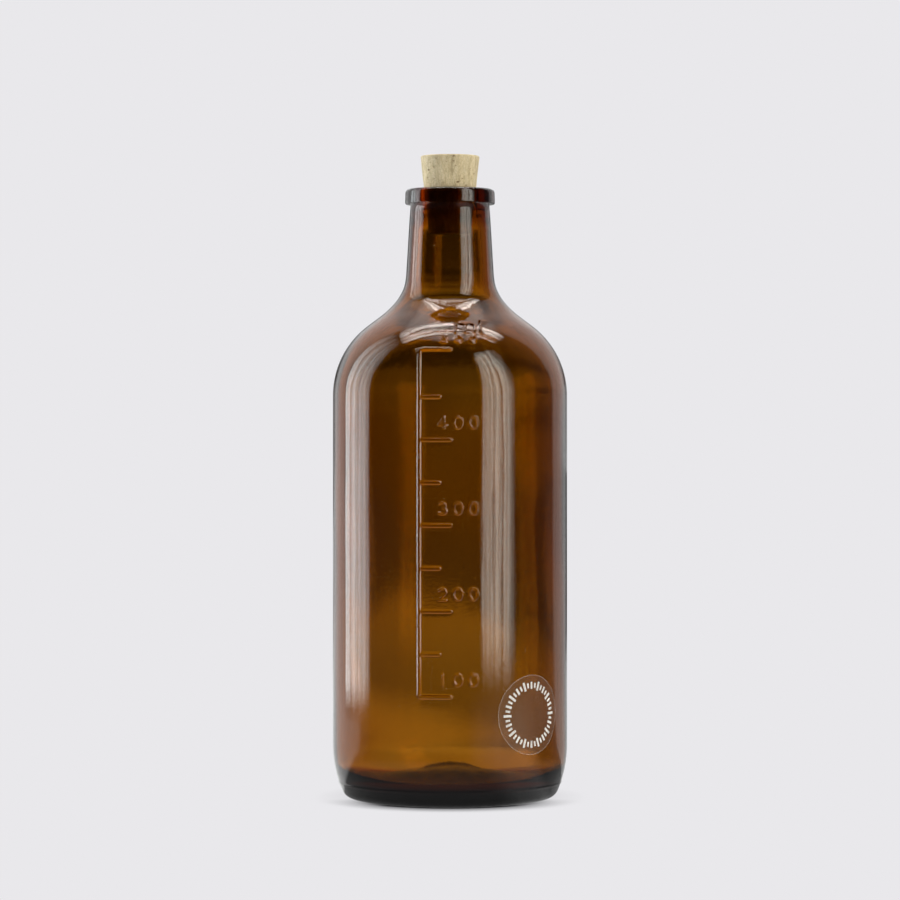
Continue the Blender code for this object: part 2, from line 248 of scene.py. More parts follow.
def inner_outline():
    """From the bore down to the middle of the floor. The wall is a little thicker high on the body."""
    convex = SHOULDER_RADIUS - WALL
    hollow = hollow_radius(convex)
    inner_radius = HEEL_RADIUS - WALL
    turn = shoulder_angle()
    waist = arc(HOLLOW_CENTRE, hollow, hollow_end(hollow, NECK_FOOT[1] - 0.001), turn + 180, 12)
    t = np.linspace(0, 1, 9)
    widening = BORE_RADIUS + (NECK_INNER_RADIUS - BORE_RADIUS) * (1 - np.cos(math.pi * t)) / 2
    neck = np.c_[widening, BORE_FOOT + (NECK_INNER_TOP - BORE_FOOT) * t]
    gap = waist[0] - neck[-1]
    neck = np.vstack([neck, [neck[-1] + gap * share for share in (0.25, 0.5, 0.75)]])
    shoulder = arc(SHOULDER_CENTRE, convex, turn, 0, 14)
    corner = (inner_radius - INNER_HEEL_RADIUS, FLOOR_EDGE + INNER_HEEL_RADIUS)
    heel = arc(corner, INNER_HEEL_RADIUS, 0, -90, 12)
    body_z = np.linspace(shoulder[-1, 1], corner[1], 16)[1:-1]
    body = np.c_[np.full_like(body_z, inner_radius), body_z]
    radius = np.linspace(corner[0], 0, 14)[1:]
    rise = (FLOOR_CENTRE - FLOOR_EDGE) * (1 - (radius / corner[0]) ** 2.6) ** 2
    floor = np.c_[radius, FLOOR_EDGE + rise]
    return np.vstack([neck, waist, shoulder, body, heel, floor])


# ---------------------------------------------------------------- moulded scale


def ellipse(centre, size, first, last, steps=16):
    angle = np.radians(np.linspace(first, last, steps + 1))
    return np.c_[centre[0] + size[0] * np.cos(angle), centre[1] + size[1] * np.sin(angle)]


def glyph(character):
    """Centre lines of a character in a unit box."""
    if character == "0":
        return [ellipse((0.5, 0.5), (0.5, 0.5), 0, 360, 24)]
    if character == "1":
        return [[(0.5, 1.0), (0.5, 0.0)]]
    if character == "2":
        bowl = ellipse((0.5, 0.7), (0.42, 0.3), 170, -35)
        return [np.vstack([bowl, [(0.05, 0.0)]]), [(0.05, 0.0), (1.0, 0.0)]]
    if character == "3":
        return [
            ellipse((0.47, 0.76), (0.4, 0.24), 150, -80),
            ellipse((0.47, 0.27), (0.5, 0.27), 80, -155),
        ]
    if character == "4":
        return [[(0.72, 1.0), (0.0, 0.3), (1.05, 0.3)], [(0.72, 1.0), (0.72, 0.0)]]
    if character == "5":
        bowl = ellipse((0.45, 0.34), (0.5, 0.34), 135, -150)
        return [[(0.9, 1.0), (0.16, 1.0), (0.1, 0.55)], bowl]
    if character == "m":
        hump = ellipse((0.25, 0.4), (0.25, 0.25), 180, 0)
        first = np.vstack([hump, [(0.5, 0.0)]])
        second = np.vstack([hump + [0.5, 0], [(1.0, 0.0)]])
        return [[(0.0, 0.7), (0.0, 0.0)], first, second]
    return [[(0.5, 1.0), (0.5, 0.0)]]


def text_strokes(text, first_centre, middle, pitch, size):
    """Strokes of a text on the wall, as (across, along)."""
    strokes = []
    for i, character in enumerate(text):
        origin = np.array([first_centre + i * pitch - size[0] / 2, middle - size[1] / 2])
        strokes += [origin + np.array(stroke) * size for stroke in glyph(character)]
    return strokes


def place_at(outline, height):
    """Length along the wall at a height, plus the heel's top, so that it equals z on the straight body."""
    return HEEL_TOP + float(np.interp(height, outline[:, 1], along(outline)))


def tick_places(outline):
    heights = [SCALE_FIRST + i * SCALE_STEP for i in range(SCALE_TICKS - 1)] + [SCALE_LAST]
    return [place_at(outline, height) for height in heights]


def scale_strokes(ticks):
    """Lines and numerals of the scale: two lists of strokes, each (across, along)."""
    foot, top = ticks[0], ticks[-1]
    end = LONG_TICK_END - LINE_WIDTH / 2
    high = (STEM_AT + TOP_CORNER_ROUND, top - TOP_CORNER_ROUND)
    low = (STEM_AT + FOOT_CORNER_ROUND, foot + FOOT_CORNER_ROUND)
    bracket = [[(end, top)], arc(high, TOP_CORNER_ROUND, 90, 180, 6)]
    bracket += [arc(low, FOOT_CORNER_ROUND, 180, 270, 4), [(end, foot)]]
    lines = [np.vstack(bracket)]
    figures = []
    for i, tick in enumerate(ticks):
        hundred = i % 2 == 0
        if 0 < i < len(ticks) - 1:
            end = (LONG_TICK_END if hundred else SHORT_TICK_END) - LINE_WIDTH / 2
            lines.append(np.array([(STEM_AT, tick), (end, tick)]))
        text = str(100 + 50 * i)
        if hundred and i < len(ticks) - 1:
            figures += text_strokes(text, FIRST_DIGIT_AT, tick + DIGIT_RISE, DIGIT_PITCH, DIGIT_SIZE)
        elif hundred:
            middle = tick + TOP_DIGIT_RISE
            figures += text_strokes(text, TOP_FIRST_DIGIT_AT, middle, TOP_DIGIT_PITCH, TOP_DIGIT_SIZE)
    figures += text_strokes("ml", UNIT_AT, top + UNIT_RISE, UNIT_PITCH, UNIT_SIZE)
    return lines, figures


def distance_to(strokes, across, upward):
    """Distance of every grid point to the nearest stroke."""
    nearest = np.full(across.shape, 1.0)
    for stroke in strokes:
        stroke = np.asarray(stroke, float)
        low, high = stroke.min(0) - 0.002, stroke.max(0) + 0.002
        close = (across > low[0]) & (across < high[0]) & (upward > low[1]) & (upward < high[1])
        if not close.any():
            continue
        point = np.c_[across[close], upward[close]]
        best = nearest[close]
        for a, b in zip(stroke, stroke[1:]):
            run = b - a
            t = np.clip((point - a) @ run / max(run @ run, 1e-18), 0, 1)
            best = np.minimum(best, np.hypot(*(point - a - t[:, None] * run).T))
        nearest[close] = best
    return nearest


def smooth(value, low, high):
    t = np.clip((value - low) / (high - low), 0, 1)
    return t * t * (3 - 2 * t)


def hump(value, middle, span):
    """A rise that is 1 at the middle and dies away smoothly on both sides."""
    return np.exp(-(((value - middle) / span) ** 2))


def flank(distance, top, foot):
    """A ridge's height, 1 on its flat top and 0 past its foot, with a straight slope between."""
    straight = 1 - np.clip((distance - top) / (foot - top), 0, 1)
    return 0.6 * straight + 0.4 * (1 - smooth(distance, top, foot))


def relief(ticks, across, upward):
    """Height of the moulded scale over the wall, at grid points given as (across, along)."""
    lines, figures = scale_strokes(ticks)
    ridge = flank(distance_to(lines, across, upward), LINE_FLAT, LINE_WIDTH / 2)
    figure = flank(distance_to(figures, across, upward), DIGIT_FLAT, DIGIT_STROKE / 2)
    return RELIEF_HEIGHT * np.maximum(ridge, figure * DIGIT_LIFT)


# ---------------------------------------------------------------- grids


def spread(windows, start, end, coarse):
    """Increasing values from start to end, at most `coarse` apart, or a window's own step inside it."""
    hair = 1e-6 * (end - start)
    values = [start]
    while values[-1] < end - hair:
        here = values[-1]
        step = min([fine for low, high, fine in windows if low - hair <= here < high - hair] + [coarse])
        for low, high, fine in windows:
            if here + hair < low < here + step:
                step = low - here
        values.append(min(here + step, end))
    return np.array(values)


def wall_rows(outline, ticks):
    """Places along the wall for rows of points: close-set at each tick and numeral, and on the curves."""
    windows = [(tick - 0.0010, tick + 0.0010, RELIEF_ROW_STEP) for tick in ticks]
    top = ticks[-1]
    half = DIGIT_SIZE[1] / 2 + DIGIT_MARGIN
    raised = [(tick + DIGIT_RISE, half, RELIEF_ROW_STEP) for tick in ticks[:-1:2]]
    raised.append((top + TOP_DIGIT_RISE, TOP_DIGIT_SIZE[1] / 2 + RELIEF_MARGIN, RELIEF_ROW_STEP))
    raised.append((top + UNIT_RISE, UNIT_SIZE[1] / 2 + RELIEF_MARGIN, UNIT_ROW_STEP))
    windows += [(middle - half, middle + half, step) for middle, half, step in raised]
    windows.append((top - 0.0022, top - 0.0008, CORNER_ROW_STEP))
    curve_start = place_at(outline, SHOULDER_CENTRE[1] - 0.001)
    curve_end = place_at(outline, NECK_FOOT[1] + 0.004)
    windows.append((curve_start, curve_end, CURVE_ROW_STEP))
    return spread(windows, HEEL_TOP, HEEL_TOP + along(outline)[-1], ROW_STEP)


def bottle_columns():
    """Angles of the columns, in degrees from the front: close-set where the scale is."""
    windows = [(FIRST_COLUMN, -13.2, 0.21), (-13.2, -6.9, 1.4), (-6.9, 14.7, 0.30), (14.7, 21.6, 0.38)]
    return spread(windows, FIRST_COLUMN, FIRST_COLUMN + 360, COLUMN_STEP)[:-1]


def waviness(angle, height):
    """A slow, slight unevenness of blown glass, between -1 and 1."""
    total = 0
    waves = [(1.0, 3, 22, 0.7), (0.8, 5, -47, 2.1), (0.6, 9, 71, 4.4), (0.5, 2, 118, 1.3)]
    for size, turns, climb, phase in waves:
        total = total + size * np.sin(turns * angle + climb * height + phase)
    return total / sum(size for size, *_ in waves)


def grid_mesh(name, radius, height, angle, first_pole, last_pole):
    """A turned mesh from grids of radius and height, closed by a point at each end."""
    rows, columns = radius.shape
    around = np.broadcast_to(angle, radius.shape)
    points = np.stack([radius * np.sin(around), -radius * np.cos(around), height], axis=-1)
    points = np.vstack([points.reshape(-1, 3), [(0, 0, first_pole), (0, 0, last_pole)]])
    index = np.arange(rows * columns).reshape(rows, columns)
    right = np.roll(index, -1, axis=1)
    quads = np.stack([index[:-1], right[:-1], right[1:], index[1:]], axis=-1).reshape(-1, 4)
    bottom = np.stack([np.full(columns, rows * columns), right[0], index[0]], axis=-1)
    top = np.stack([index[-1], right[-1], np.full(columns, rows * columns + 1)], axis=-1)
    mesh = bpy.data.meshes.new(name)
    mesh.from_pydata(points.tolist(), [], quads.tolist() + bottom.tolist() + top.tolist())
    mesh.validate()
    mesh.shade_smooth()
    made = bpy.data.objects.new(name, mesh)
    bpy.context.scene.collection.objects.link(made)
    return made


def outer_lift(side, places, ticks, signed):
    """How far the outer skin stands off its turned outline, by row and column."""
    radius, height = side[:, :1], side[:, 1:]
    upward = places[:, None]
    lift = relief(ticks, signed * radius, upward + 0 * signed)
    body = smooth(upward, HEEL_TOP, HEEL_TOP + 0.012)
    lift = lift - SKIN_WAVE * body * (1 + waviness(signed, upward))
    seam = hump(np.abs(np.abs(signed) - math.pi / 2) * radius, 0, SEAM_HALF_WIDTH)
    below_lip = 1 - smooth(upward, places[-1] - 0.006, places[-1])
    lift = lift + SEAM_LIFT * seam * body * below_lip
    # The glass is drawn in a little at the foot of the neck, most of all at the front.
    front = 1 - smooth(np.abs(signed), math.radians(38), math.radians(80))
    lift = lift - hump(height, TUCK_AT, TUCK_SPAN) * (TUCK_DEPTH + FRONT_TUCK_DEPTH * front)
    return lift + hump(height, SWELL_AT, SWELL_SPAN) * FRONT_SWELL_LIFT * front


def extra_wall(reach, height, signed):
    """How much thicker the wall is than the CAD part's: waves, and more glass high on the body."""
    thick = EXTRA_WALL * smooth(height, 0.045, 0.085) * (1 - smooth(height, 0.116, 0.138))
    thick = thick + INNER_WAVE * waviness(signed + 1.9, height * 1.3)
    return thick * smooth(reach, 0.012, 0.022)


def build_bottle():
    """The glass: outer skin with the scale, lip, bore, and inner skin, as one closed surface."""
    wall = wall_outline()
    ticks = tick_places(wall)
    places = wall_rows(wall, ticks)
    side = resample(wall, places - HEEL_TOP)
    base = base_outline()
    lip = lip_outline()
    inner = inner_outline()
    outline = np.vstack([base[1:-1], side, lip, inner[1:-1]])
    angle = np.radians(bottle_columns())
    signed = np.where(angle > math.pi, angle - math.tau, angle)
    radius = np.repeat(outline[:, :1], len(angle), axis=1)
    height = np.repeat(outline[:, 1:], len(angle), axis=1)
    low = slice(0, len(base) - 2)
    sides = slice(low.stop, low.stop + len(side))
    inside = slice(sides.stop + len(lip), len(outline))

    # The side's rows move along the wall's outward direction.
    run = np.gradient(side, places, axis=0)
    run /= np.hypot(run[:, :1], run[:, 1:])
    lift = outer_lift(side, places, ticks, signed)
    radius[sides] += lift * run[:, 1:]
    height[sides] -= lift * run[:, :1]

    # Ring where the mould's base plate met its halves, outside the bearing ring.
    ring = hump(height[low], BASE_RING_AT, BASE_RING_HALF_WIDTH) * (radius[low] > 0.033)
    radius[low] += BASE_RING_LIFT * ring
    radius[inside] -= extra_wall(radius[inside], height[inside], signed)
    return grid_mesh("glass_body", radius, height, angle, PUSH_UP, FLOOR_CENTRE)


def build_cork():
    """The cork, with a worn upper edge, an uneven side and open pores."""
    cut = np.random.RandomState(11)
    columns = 200
    angle = np.linspace(0, math.tau, columns, endpoint=False)
    foot_disc = np.c_[np.linspace(0.0008, CORK_FOOT_RADIUS - 0.0004, 8), np.full(8, CORK_FOOT)]
    hidden_z = np.linspace(CORK_FOOT + 0.0004, CORK_FINE_ABOVE - 0.0002, 18)
    side_z = np.r_[hidden_z, np.linspace(CORK_FINE_ABOVE, CORK_TOP - 0.0006, 58)]
    share = (side_z - CORK_FOOT) / (CORK_TOP - CORK_FOOT)
    side = np.c_[CORK_FOOT_RADIUS + (CORK_TOP_RADIUS - CORK_FOOT_RADIUS) * share, side_z]
    edge = arc((CORK_TOP_RADIUS - 0.0006, CORK_TOP - 0.0006), CORK_EDGE_ROUND, 10, 80, 4)
    top_disc = np.c_[np.linspace(CORK_TOP_RADIUS - 0.0008, 0.0003, 40), np.full(40, CORK_TOP - 0.00004)]
    outline = np.vstack([foot_disc, side, edge, top_disc])
    radius = np.repeat(outline[:, :1], columns, axis=1)
    height = np.repeat(outline[:, 1:], columns, axis=1)
    on_side = slice(len(foot_disc), len(foot_disc) + len(side) + len(edge))
    on_top = slice(on_side.stop, len(outline))

    # Pores: (angle from the front, height, radius of the pore) on the side, and some on the top.
    pores = [(17, 0.1961, 0.00050), (7, 0.2043, 0.00045), (-50, 0.2001, 0.00036), (-36, 0.1972, 0.00022)]
    for _ in range(95):
        pores.append((cut.uniform(-180, 180), cut.uniform(0.181, 0.2045), cut.uniform(0.00010, 0.00030)))
    pit = np.zeros_like(radius)
    around = angle[None, :]
    for turn, level, size in pores:
        apart = (around - math.radians(turn) + math.pi) % math.tau - math.pi
        slant = cut.uniform(-0.6, 0.6)
        dx = apart * radius[on_side]
        dz = height[on_side] - level + slant * dx
        away = np.hypot(dx / cut.uniform(0.9, 1.7), dz * cut.uniform(0.9, 1.6)) / size
        pit[on_side] = np.maximum(pit[on_side], 1 - smooth(away, 0.35, 1.15))
    x = radius[on_top] * np.sin(around)
    y = -radius[on_top] * np.cos(around)
    for _ in range(60):
        centre = cut.uniform(-0.009, 0.009, 2)
        size = cut.uniform(0.00012, 0.00034)
        away = np.hypot((x - centre[0]) / cut.uniform(0.8, 2.2), y - centre[1]) / size
        pit[on_top] = np.maximum(pit[on_top], 1 - smooth(away, 0.4, 1.2))

    uneven = np.sin(7 * around + 900 * height) + np.sin(13 * around - 1500 * height + 1.0)
    uneven = uneven + np.sin(29 * around + 400 * height + 2.0) + cut.normal(0, 0.35, radius.shape)
    wear = 0.000022 * (2.2 + np.clip(uneven[on_side], -2.2, 2.2))
    radius[on_side] -= wear + CORK_PORE_DEPTH * pit[on_side]
    height[on_top] -= 0.00001 * (1.5 + np.clip(uneven[on_top], -1.5, 1.5)) + 0.0003 * pit[on_top]
    cork = grid_mesh("cork_body", radius, height, angle, CORK_FOOT, CORK_TOP - 0.00008)
    shade = np.r_[pit.reshape(-1), 0, 0].astype(np.float32)
    cork.data.attributes.new("pore", "FLOAT", "POINT").data.foreach_set("value", shade)
    return cork


def wrapped(name, points, faces):
    """A mesh laid on the body: each point is (right, up, lift) about the sticker's middle."""
    points = np.asarray(points, float)
    angle = LABEL_ANGLE + points[:, 0] / BODY_RADIUS
    reach = HEEL_RADIUS + points[:, 2]
    place = np.c_[reach * np.sin(angle), -reach * np.cos(angle), LABEL_HEIGHT + points[:, 1]]
    mesh = bpy.data.meshes.new(name)
    mesh.from_pydata(place.tolist(), [], [list(face) for face in faces])
    mesh.validate()
    made = bpy.data.objects.new(name, mesh)
    bpy.context.scene.collection.objects.link(made)
    return made


def disc_points(radii, sides, lift):
    turn = np.linspace(0, math.tau, sides, endpoint=False)
    rings = [np.c_[r * np.cos(turn), r * np.sin(turn), np.full(sides, lift)] for r in radii]
    return np.vstack(rings)


def build_film():
    """The clear film: a thin round sheet with a bevelled rim."""
    sides = LABEL_SIDES
    under = disc_points([0.0004, 0.003, 0.006, 0.009, 0.0115, 0.01240], sides, FILM_FOOT)
    over = disc_points([0.01242, 0.0123, 0.0115, 0.009, 0.006, 0.003, 0.0004], sides, FILM_TOP)
    over[:sides, 2] = 0.00010
    points = np.vstack([under, over, [(0, 0, FILM_FOOT), (0, 0, FILM_TOP)]])
    rows = (len(points) - 2) // sides
    faces = []
    for row in range(rows - 1):
        for i in range(sides):
            j = (i + 1) % sides
            low, high = row * sides, (row + 1) * sides
            faces.append((high + j, high + i, low + i, low + j))
    last = (rows - 1) * sides
    for i in range(sides):
        j = (i + 1) % sides
        faces.append((rows * sides, j, i))
        faces.append((rows * sides + 1, last + i, last + j))
    film = wrapped("sticker_film", points, faces)
    film.data.shade_smooth()
    return film


def build_rim():
    """The film's cut edge, which shows as a thin pale line."""
    points, faces = [], []
    inner, outer = RIM_RADII
    for i in range(LABEL_SIDES):
        low, high = math.tau * i / LABEL_SIDES, math.tau * (i + 1) / LABEL_SIDES
        ends = [(inner, low), (outer, low), (outer, high), (inner, high)]
        outline = [(radius * math.cos(turn), radius * math.sin(turn)) for radius, turn in ends]
        add_block(points, faces, outline, FILM_TOP, PRINT_TOP)
    return wrapped("sticker_rim", points, faces)


def add_block(points, faces, outline, low, high):
    """A flat block over an outline of (right, up) corners."""
    first = len(points)
    count = len(outline)
    for lift in (low, high):
        points += [(x, y, lift) for x, y in outline]
    faces.append([first + i for i in reversed(range(count))])
    faces.append([first + count + i for i in range(count)])
    for i in range(count):
        j = (i + 1) % count
        faces.append((first + i, first + j, first + count + j, first + count + i))


def build_marks():
    """The white print: a plain ring of long, short and middling bars, like a dial without figures."""
    points, faces = [], []
    for i in range(MARK_COUNT):
        turn = math.tau * i / MARK_COUNT
        reach = (0.0014, 0.0008, 0.0011, 0.0008)[i % 4]
        half = (0.00040, 0.00034, 0.00037, 0.00034)[i % 4]
        radial = np.array([math.cos(turn), math.sin(turn)])
        side = np.array([-radial[1], radial[0]])
        near = radial * (MARK_RING - reach)
        far = radial * (MARK_RING + reach)
        bar = [near - side * half, far - side * half, far + side * half, near + side * half]
        add_block(points, faces, bar, FILM_TOP, PRINT_TOP)
    return wrapped("sticker_marks", points, faces)


# ---------------------------------------------------------------- materials


class Nodes:
    """The node tree of a material or of the world, with short calls to add and join nodes."""

    def __init__(self, owner):
        owner.use_nodes = True
        self.owner = owner
        self.tree = owner.node_tree
        self.shader = self.tree.nodes.get("Principled BSDF")
        self.out = next(node for node in self.tree.nodes if node.type.startswith("OUTPUT"))

    def add(self, kind, links=None, **settings):
        """Adds a node, sets its properties or input values, and joins inputs to other outputs."""
        node = self.tree.nodes.new(kind)
        for key, value in settings.items():
            if hasattr(node, key):
                setattr(node, key, value)
            else:
                node.inputs[key.replace("_", " ")].default_value = value
        for key, source in (links or {}).items():
            self.tree.links.new(source, node.inputs[key])
        return node

    def join(self, source, socket):
        """Joins an output to the surface shader."""
        self.tree.links.new(source, self.shader.inputs[socket])

    def show(self, shader):
        """Makes another shader the surface, or the world's background."""
        self.tree.links.new(shader.outputs[0], self.out.inputs["Surface"])

    def noise(self, vector, scale, detail=3.0, roughness=0.5):
        node = self.add("ShaderNodeTexNoise", {"Vector": vector})
        node.inputs["Scale"].default_value = scale
        node.inputs["Detail"].default_value = detail
        node.inputs["Roughness"].default_value = roughness
        return node.outputs["Fac"]

    def stretched(self, scale):
        """Object coordinates scaled on each axis."""
        place = self.add("ShaderNodeTexCoord").outputs["Object"]
        node = self.add("ShaderNodeMapping", {"Vector": place})
        node.inputs["Scale"].default_value = scale
        return node.outputs["Vector"]

    def ramp(self, value, stops):
        node = self.add("ShaderNodeValToRGB", {"Fac": value})
        elements = node.color_ramp.elements
        while len(elements) < len(stops):
            elements.new(0.5)
        for element, (position, colour) in zip(elements, stops):
            element.position = position
            element.color = (*colour, 1)
        return node.outputs["Color"]

    def levels(self, value, stops):
        """A ramp of plain brightness, given as (position, level)."""
        return self.ramp(value, [(position, (level, level, level)) for position, level in stops])

    def ranged(self, value, low, high, to_low, to_high):
        node = self.add("ShaderNodeMapRange", {"Value": value})
        for key, number in zip(("From Min", "From Max", "To Min", "To Max"), (low, high, to_low, to_high)):
            node.inputs[key].default_value = number
        return node.outputs["Result"]

    def math(self, operation, a, b=0.0):
        node = self.add("ShaderNodeMath", operation=operation)
        for i, value in enumerate((a, b)):
            if isinstance(value, (int, float)):
                node.inputs[i].default_value = value
            else:
                self.tree.links.new(value, node.inputs[i])
        return node.outputs[0]

    def mix(self, factor, a, b, blend="MIX"):
        node = self.add("ShaderNodeMix", data_type="RGBA", blend_type=blend)
        for socket, value in ((node.inputs[0], factor), (node.inputs[6], a), (node.inputs[7], b)):
            if isinstance(value, (int, float)):
                socket.default_value = value
            elif isinstance(value, tuple):
                socket.default_value = (*value, 1)
            else:
                self.tree.links.new(value, socket)
        return node.outputs[2]

    def bump(self, height, distance, strength=1.0, normal=None):
        links = {"Height": height}
        if normal is not None:
            links["Normal"] = normal
        node = self.add("ShaderNodeBump", links)
        node.inputs["Distance"].default_value = distance
        node.inputs["Strength"].default_value = strength
        return node.outputs["Normal"]


def material_nodes(name):
    return Nodes(bpy.data.materials.new(name))


def glass_material():
    """Clear amber glass: colour comes from absorption, so thick glass is darker than thin."""
    nodes = material_nodes("amber_glass")
    shader = nodes.shader
    shader.inputs["Base Color"].default_value = (1, 1, 1, 1)
    shader.inputs["Transmission Weight"].default_value = 1.0
    shader.inputs["IOR"].default_value = 1.5
    smudge = nodes.noise(nodes.stretched((1, 1, 0.6)), 55, 4.0, 0.6)
    nodes.join(nodes.ranged(smudge, 0.45, 0.75, 0.008, 0.040), "Roughness")
    draw = nodes.noise(nodes.stretched((1, 1, 0.06)), 260, 2.0, 0.5)
    grain = nodes.noise(nodes.stretched((1, 1, 1)), 1100, 3.0, 0.6)
    seeds = nodes.add("ShaderNodeTexVoronoi", {"Vector": nodes.stretched((1, 1, 0.8))})
    seeds.inputs["Scale"].default_value = 210
    spot = nodes.ranged(seeds.outputs["Distance"], 0.015, 0.045, 1, 0)
    some = nodes.add("ShaderNodeSeparateColor", {"Color": seeds.outputs["Color"]}).outputs["Red"]
    spot = nodes.math("MULTIPLY", spot, nodes.ranged(some, 0.55, 0.75, 0, 1))
    wavy = nodes.bump(draw, 0.00005)
    rough = nodes.bump(grain, 0.000011, 1.0, wavy)
    nodes.join(nodes.bump(spot, 0.00030, 1.0, rough), "Normal")
    volume = nodes.add("ShaderNodeVolumeAbsorption")
    volume.inputs["Color"].default_value = (0.797, 0.616, 0.09, 1)
    volume.inputs["Density"].default_value = 1000.0
    nodes.tree.links.new(volume.outputs["Volume"], nodes.out.inputs["Volume"])
    return nodes.owner


def cork_material():
    """Natural cork: pale tan cells, slightly darker growth bands, brown pores, and painted shade on the part
    inside the bore.
    """
    nodes = material_nodes("natural_cork")
    grain = nodes.noise(nodes.stretched((1, 1, 0.28)), 900, 5.0, 0.6)
    cells = nodes.noise(nodes.stretched((1, 1, 1)), 3200, 3.0, 0.6)
    bands = nodes.noise(nodes.stretched((1, 1, 0.12)), 240, 3.0, 0.55)
    base = nodes.ramp(
        grain, [(0.30, (0.50, 0.40, 0.24)), (0.50, (0.66, 0.55, 0.35)), (0.72, (0.76, 0.66, 0.46))]
    )
    shade = nodes.ranged(bands, 0.35, 0.7, 0.82, 1.06)
    speck = nodes.ranged(cells, 0.30, 0.62, 0.70, 1.05)
    both = nodes.math("MULTIPLY", shade, speck)
    base = nodes.mix(1.0, base, nodes.mix(both, (0, 0, 0), (1, 1, 1)), "MULTIPLY")
    level = nodes.add("ShaderNodeSeparateXYZ", {"Vector": nodes.stretched((1, 1, 1))}).outputs["Z"]
    # Below the lip's top the cork is mixed almost to black: painted shade where it sits inside the glass
    # bore. The growth bands make the edge of this shade uneven.
    bore_shade_height = nodes.math("ADD", level, nodes.math("MULTIPLY", bands, 0.003))
    base = nodes.mix(nodes.ranged(bore_shade_height, 0.1945, 0.1965, 0.7, 0), base, (0.045, 0.020, 0.006))
    pore = nodes.add("ShaderNodeAttribute", attribute_name="pore").outputs["Fac"]
    base = nodes.mix(nodes.ranged(pore, 0.1, 0.9, 0.0, 0.92), base, (0.16, 0.085, 0.035))
    nodes.join(base, "Base Color")
    nodes.join(nodes.ranged(cells, 0.2, 0.8, 0.92, 0.74), "Roughness")
    nodes.shader.inputs["Specular IOR Level"].default_value = 0.25
    nodes.join(nodes.bump(cells, 0.00009, 1.0, nodes.bump(grain, 0.00016)), "Normal")
    return nodes.owner


def film_material(name, alpha):
    """Clear vinyl: nearly unseen, with a faint milky veil."""
    nodes = material_nodes(name)
    haze = nodes.noise(nodes.stretched((1, 1, 1)), 500, 3.0, 0.6)
    nodes.join(nodes.ramp(haze, [(0.3, (0.72, 0.70, 0.68)), (0.7, (0.80, 0.78, 0.76))]), "Base Color")
    nodes.join(nodes.ranged(haze, 0.3, 0.7, 0.22, 0.34), "Roughness")
    nodes.shader.inputs["Alpha"].default_value = alpha
    return nodes.owner


def ink_material():
    """White screen print, slightly uneven."""
    nodes = material_nodes("white_print")
    patch = nodes.noise(nodes.stretched((1, 1, 1)), 1800, 4.0, 0.6)
    nodes.join(nodes.ramp(patch, [(0.3, (0.62, 0.60, 0.57)), (0.6, (0.84, 0.83, 0.81))]), "Base Color")
    nodes.join(nodes.ranged(patch, 0.3, 0.7, 0.6, 0.45), "Roughness")
    nodes.join(nodes.bump(patch, 0.00001), "Normal")
    return nodes.owner


# ---------------------------------------------------------------- studio


def quad(name, points):
    """A flat four-sided panel of the studio, not a piece of the part."""
    mesh = bpy.data.meshes.new(name)
    mesh.from_pydata(points, [], [(0, 1, 2, 3)])
    layer = mesh.uv_layers.new(name="UVMap")
    for loop, uv in zip(layer.data, ((0, 0), (1, 0), (1, 1), (0, 1))):
        loop.uv = uv
    made = bpy.data.objects.new(name, mesh)
    bpy.context.scene.collection.objects.link(made)
    return made


def upright(first, second, low, high):
    """Corners of an upright panel that stands over two points of the floor."""
    return [(*first, low), (*second, low), (*second, high), (*first, high)]


def softbox(name, points, radiance, tint, fades, streak, grain):
    """A glowing panel that the camera doesn't see directly.

    fades are the (left, right, foot, head) shares of it over which it dims. streak is how uneven it is,
    and grain is how often that changes across it and up it.
    """
    panel = quad(name, points)
    panel.visible_camera = False
    nodes = material_nodes(name)
    place = nodes.add("ShaderNodeTexCoord").outputs["UV"]
    split = nodes.add("ShaderNodeSeparateXYZ", {"Vector": place})
    x, y = split.outputs["X"], split.outputs["Y"]
    glow = radiance
    for axis, (low, high) in ((x, fades[:2]), (y, fades[2:])):
        rise = nodes.ranged(axis, 0, low, 0, 1)
        fall = nodes.ranged(axis, 1 - high, 1, 1, 0)
        glow = nodes.math("MULTIPLY", nodes.math("MULTIPLY", rise, fall), glow)
    stretch = nodes.add("ShaderNodeMapping", {"Vector": place}, Scale=grain).outputs["Vector"]
    stripes = nodes.noise(stretch, 1.6, 2.0)
    stripes = nodes.math("MAXIMUM", nodes.ranged(stripes, 0.38, 0.62, 1 - streak, 1 + streak), 0.05)
    glow = nodes.math("MULTIPLY", glow, stripes)
    light = nodes.add("ShaderNodeEmission", {"Strength": glow})
    light.inputs["Color"].default_value = (*tint, 1)
    nodes.show(light)
    panel.data.materials.append(nodes.owner)
    return panel


def contact_shadow(nodes, away, facing):
    """How dark the floor is under the bottle's edge: darkest in front, and only close by."""
    contact = nodes.add("ShaderNodeAmbientOcclusion", samples=8)
    contact.inputs["Distance"].default_value = 0.012
    shadow = nodes.ranged(contact.outputs["AO"], 0.22, 0.90, 1.0, 0)
    shadow = nodes.math("MULTIPLY", shadow, nodes.ranged(facing, 0.1, 0.40, 1, 0.12))
    return nodes.math("MULTIPLY", shadow, nodes.ranged(away, 0.06, 0.10, 1, 0))


